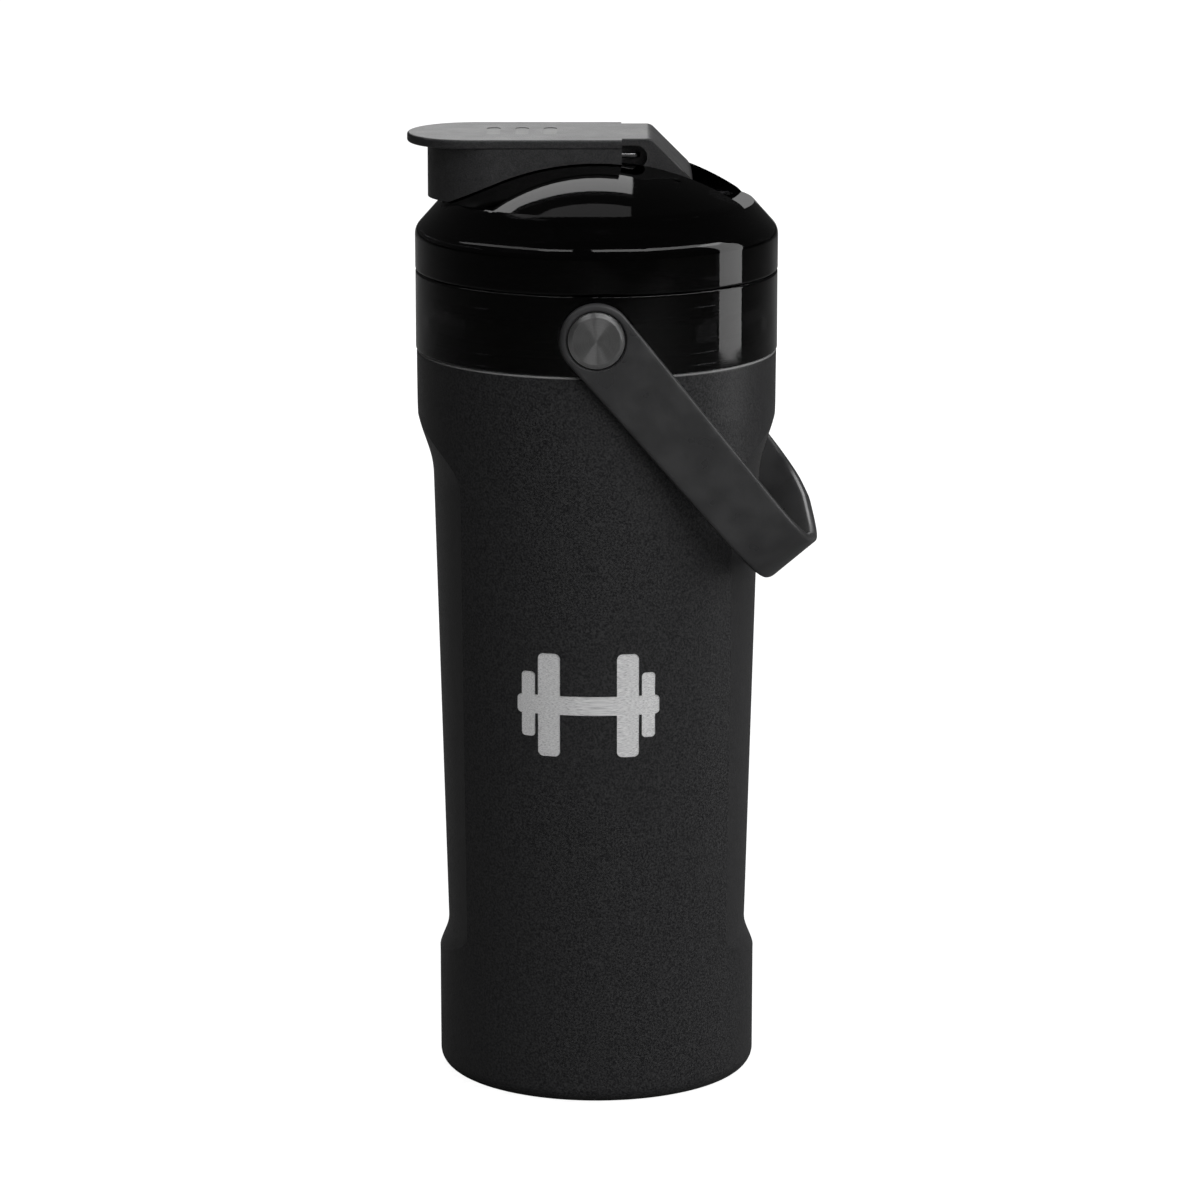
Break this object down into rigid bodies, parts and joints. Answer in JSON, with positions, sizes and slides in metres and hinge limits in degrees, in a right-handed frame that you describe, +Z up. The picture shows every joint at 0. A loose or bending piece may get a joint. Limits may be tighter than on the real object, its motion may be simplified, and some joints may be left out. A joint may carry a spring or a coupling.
{
  "type": "protein shaker bottle",
  "caption": "Insulated protein shaker bottle with screw-on collar, swinging carry strap, screw-in dome lid, flip cap and mixing grid.",
  "frame": {"origin": "centre of the base, on the surface the bottle stands on", "axes": "+Z up along the bottle's axis, -Y towards the front with the emblem, +X towards the flip cap's hinge"},
  "size_m": [0.1051, 0.101, 0.2464],
  "materials": {
    "powder_coat": "fine-textured satin powder coat",
    "emblem_steel": "horizontally brushed",
    "liner_steel": "electropolished",
    "plug_resin": "moulded",
    "getter_metal": "sintered",
    "silicone": "soft matte silicone",
    "smoked_plastic": "glossy smoked copolyester",
    "insert_brass": "turned",
    "bearing_nylon": "moulded",
    "spun_steel": "spun, with a turned bevel",
    "strap_rubber": "soft-touch matte",
    "grid_plastic": "moulded",
    "wire_steel": "polished",
    "cap_plastic": "fine spark texture",
    "inlay_plastic": "gloss"
  },
  "bodies": {
    "flask": {"outer_shell": "powder_coat", "front_emblem": "emblem_steel", "inner_liner": "liner_steel", "base_disc": "liner_steel", "vacuum_seal_plug": "plug_resin", "vacuum_getter": "getter_metal"},
    "collar_seal": {"collar_gasket": "silicone"},
    "collar": {"collar_ring": "smoked_plastic", "threaded_inserts": "insert_brass", "pivot_washers": "bearing_nylon", "pivot_bushes": "bearing_nylon", "pivot_caps": "spun_steel"},
    "handle": {"handle_strap": "strap_rubber"},
    "mixing_grid": {"agitator": "grid_plastic"},
    "dome_seal": {"dome_gasket": "silicone"},
    "dome": {"dome_shell": "smoked_plastic", "hinge_pin": "wire_steel"},
    "cap": {"flip_cap": "cap_plastic", "cap_inlay": "inlay_plastic", "spout_seal": "silicone", "detent_spring": "wire_steel"}
  },
  "joints": [
    {"name": "collar_lift", "type": "slide", "parent": "flask", "child": "collar_seal", "axis": [0, 0, 1], "range_m": [0, 0.009]},
    {"name": "collar_turn", "type": "hinge", "parent": "collar_seal", "child": "collar", "pos_m": [0, 0, 0.1908], "axis": [0, 0, 1], "range_deg": [0, 1080]},
    {"name": "handle_swing", "type": "hinge", "parent": "collar", "child": "handle", "pos_m": [0, 0, 0.2007], "axis": [0, -1, 0], "range_deg": [-3, 283]},
    {"name": "grid_lift", "type": "slide", "parent": "collar", "child": "mixing_grid", "axis": [0, 0, 1], "range_m": [0, 0.01]},
    {"name": "dome_lift", "type": "slide", "parent": "collar", "child": "dome_seal", "axis": [0, 0, 1], "range_m": [0, 0.009]},
    {"name": "dome_turn", "type": "hinge", "parent": "dome_seal", "child": "dome", "pos_m": [0, 0, 0.2113], "axis": [0, 0, 1], "range_deg": [0, 1080]},
    {"name": "cap_flip", "type": "hinge", "parent": "dome", "child": "cap", "pos_m": [0.0196, 0, 0.2337], "axis": [0, 1, 0], "range_deg": [0, 135]}
  ],
  "couplings": [
    {"joint": "collar_lift", "follows": "collar_turn", "m_per_rad": 0.00047746},
    {"joint": "dome_lift", "follows": "dome_turn", "m_per_rad": 0.00047746}
  ]
}
